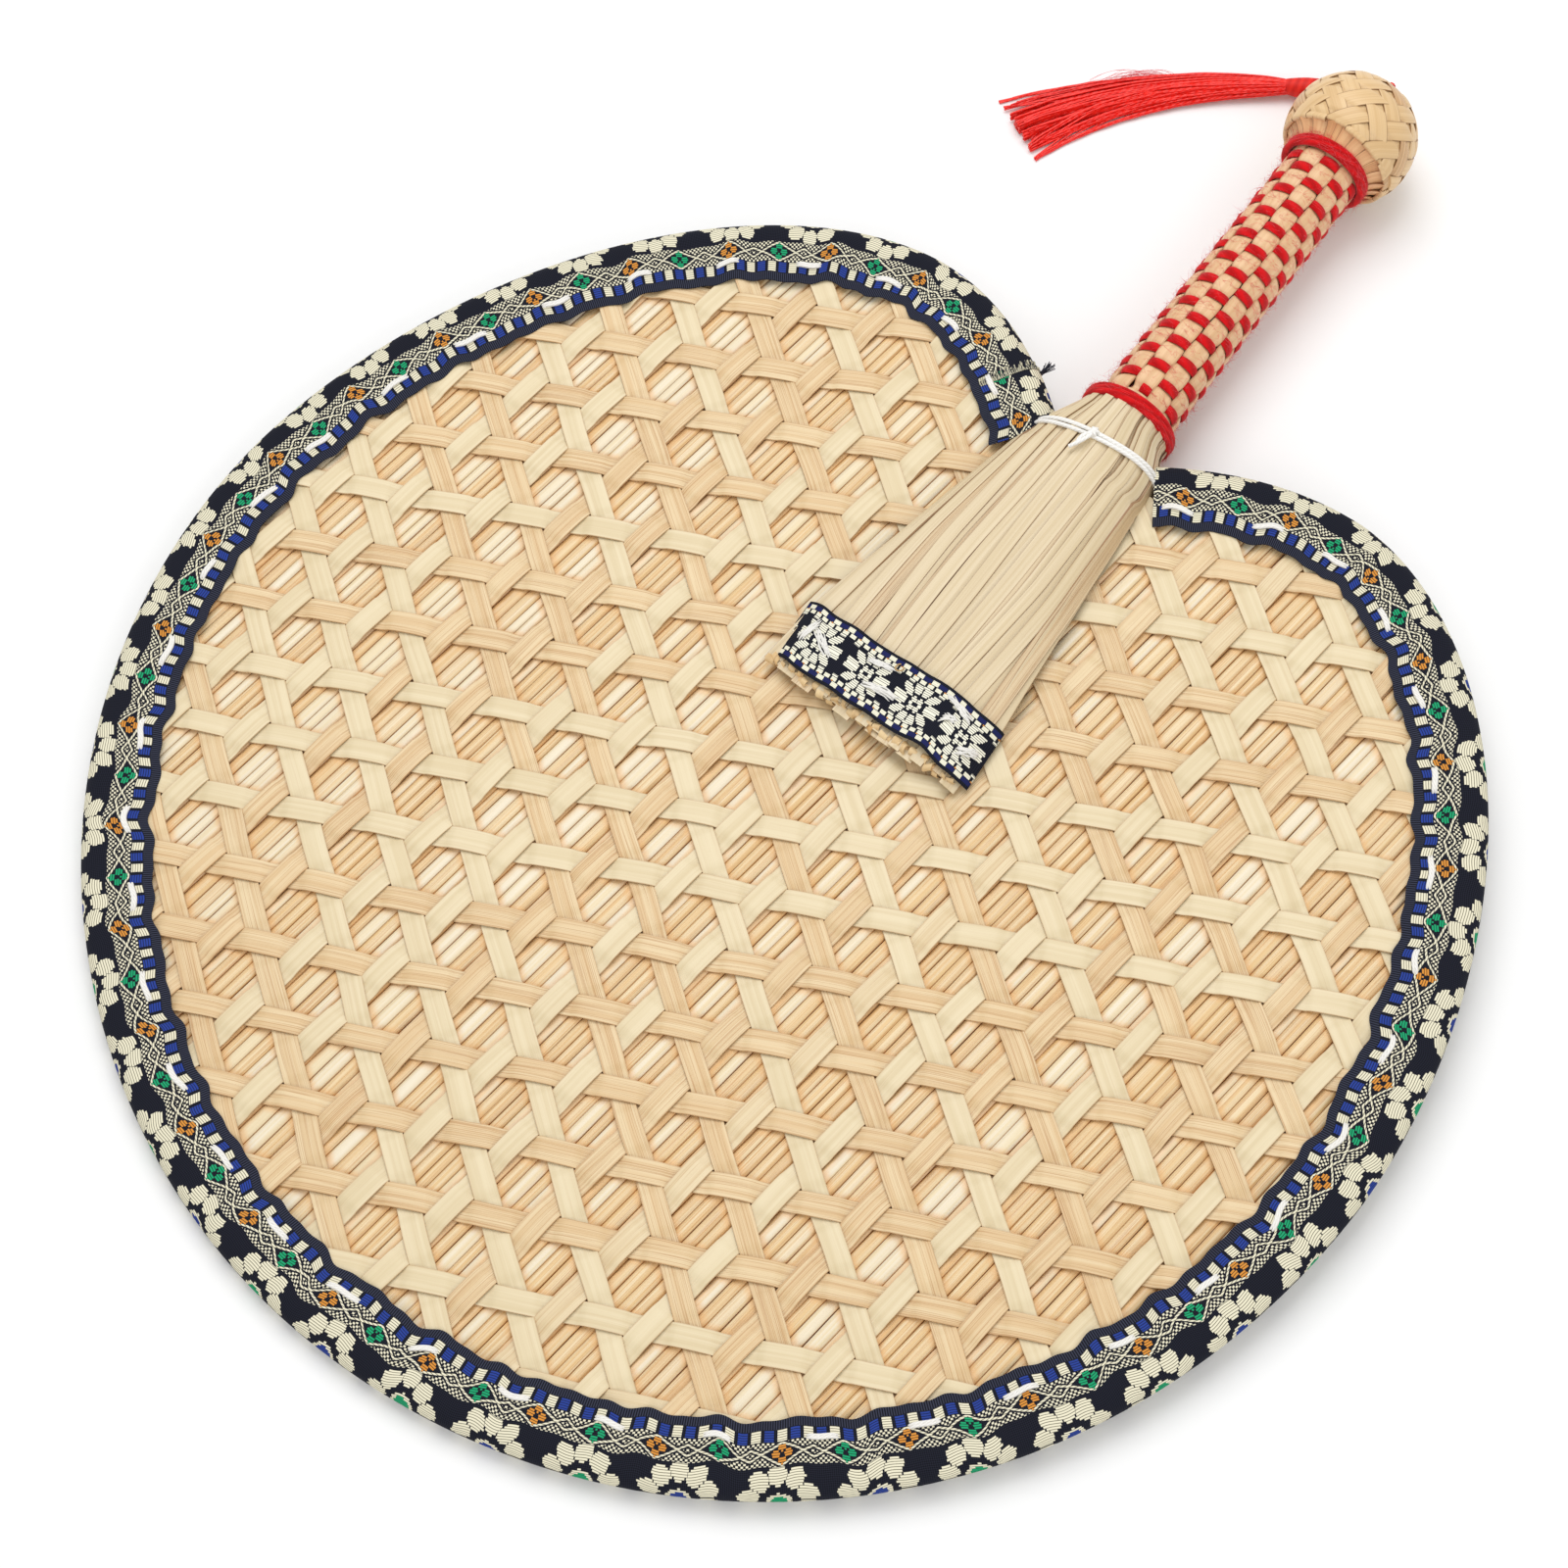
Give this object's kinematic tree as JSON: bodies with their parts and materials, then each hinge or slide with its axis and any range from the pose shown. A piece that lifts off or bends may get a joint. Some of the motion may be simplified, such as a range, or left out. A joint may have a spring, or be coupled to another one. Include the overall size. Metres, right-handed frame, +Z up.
{
  "type": "woven straw hand fan",
  "caption": "Heart-shaped hand fan of three-way strip weave over thin reeds, bound with patterned ribbon, with a wrapped straw handle, braided ball and tassel.",
  "frame": {"origin": "middle of the footprint of the fan as it lies on a table, at the table", "axes": "+Y from the blade towards the handle, +Z up out of the front of the blade, +X to the right seen from above with the handle at the top"},
  "size_m": [0.301, 0.3804, 0.0316],
  "materials": {
    "rising_straw": "smooth flat straw strip, satin",
    "falling_straw": "smooth flat straw strip, satin",
    "upright_straw": "smooth flat straw strip, satin",
    "reed_straw": "thin round reeds, satin",
    "plain_straw": "matte straw",
    "ball_straw": "braided straw, satin",
    "navy_ribbon": "woven patterned ribbon, matte",
    "red_yarn": "twisted yarn, matte",
    "red_silk": "glossy strands",
    "white_string": "twisted string, matte"
  },
  "bodies": {
    "fan": {"back_patch": "navy_ribbon", "back_splay": "plain_straw", "crown_knot": "red_silk", "edge_ribbon": "navy_ribbon", "edge_roll": "plain_straw", "falling_strip_01": "falling_straw", "falling_strip_02": "falling_straw", "falling_strip_03": "falling_straw", "falling_strip_04": "falling_straw", "falling_strip_05": "falling_straw", "falling_strip_06": "falling_straw", "falling_strip_07": "falling_straw", "falling_strip_08": "falling_straw", "falling_strip_09": "falling_straw", "falling_strip_10": "falling_straw", "falling_strip_11": "falling_straw", "falling_strip_12": "falling_straw", "falling_strip_13": "falling_straw", "falling_strip_14": "falling_straw", "front_patch": "navy_ribbon", "front_splay": "plain_straw", "grip_straw": "plain_straw", "grip_yarn": "red_yarn", "handle_core": "plain_straw", "lower_ring": "red_yarn", "neck_tie": "white_string", "pommel": "ball_straw", "reed_layer": "reed_straw", "rising_strip_01": "rising_straw", "rising_strip_02": "rising_straw", "rising_strip_03": "rising_straw", "rising_strip_04": "rising_straw", "rising_strip_05": "rising_straw", "rising_strip_06": "rising_straw", "rising_strip_07": "rising_straw", "rising_strip_08": "rising_straw", "rising_strip_09": "rising_straw", "rising_strip_10": "rising_straw", "rising_strip_11": "rising_straw", "rising_strip_12": "rising_straw", "rising_strip_13": "rising_straw", "rising_strip_14": "rising_straw", "upper_ring": "red_yarn", "upright_strip_01": "upright_straw", "upright_strip_02": "upright_straw", "upright_strip_03": "upright_straw", "upright_strip_04": "upright_straw", "upright_strip_05": "upright_straw", "upright_strip_06": "upright_straw", "upright_strip_07": "upright_straw", "upright_strip_08": "upright_straw", "upright_strip_09": "upright_straw", "upright_strip_10": "upright_straw", "upright_strip_11": "upright_straw", "upright_strip_12": "upright_straw", "upright_strip_13": "upright_straw", "upright_strip_14": "upright_straw"},
    "cord": {"tassel_cord": "red_silk"},
    "tassel": {"tassel_head": "red_silk", "tassel_skirt": "red_silk"}
  },
  "joints": [
    {"name": "tassel_swing", "type": "hinge", "parent": "fan", "child": "cord", "pos_m": [-0.00215, 0.18866, 0.01641], "axis": [0, 0, 1], "range_deg": [-150, 0]},
    {"name": "tassel_lift", "type": "hinge", "parent": "cord", "child": "tassel", "pos_m": [-0.01855, 0.18866, 0.0029], "axis": [-0.5592, 0.829, 0], "range_deg": [0, 100]}
  ]
}
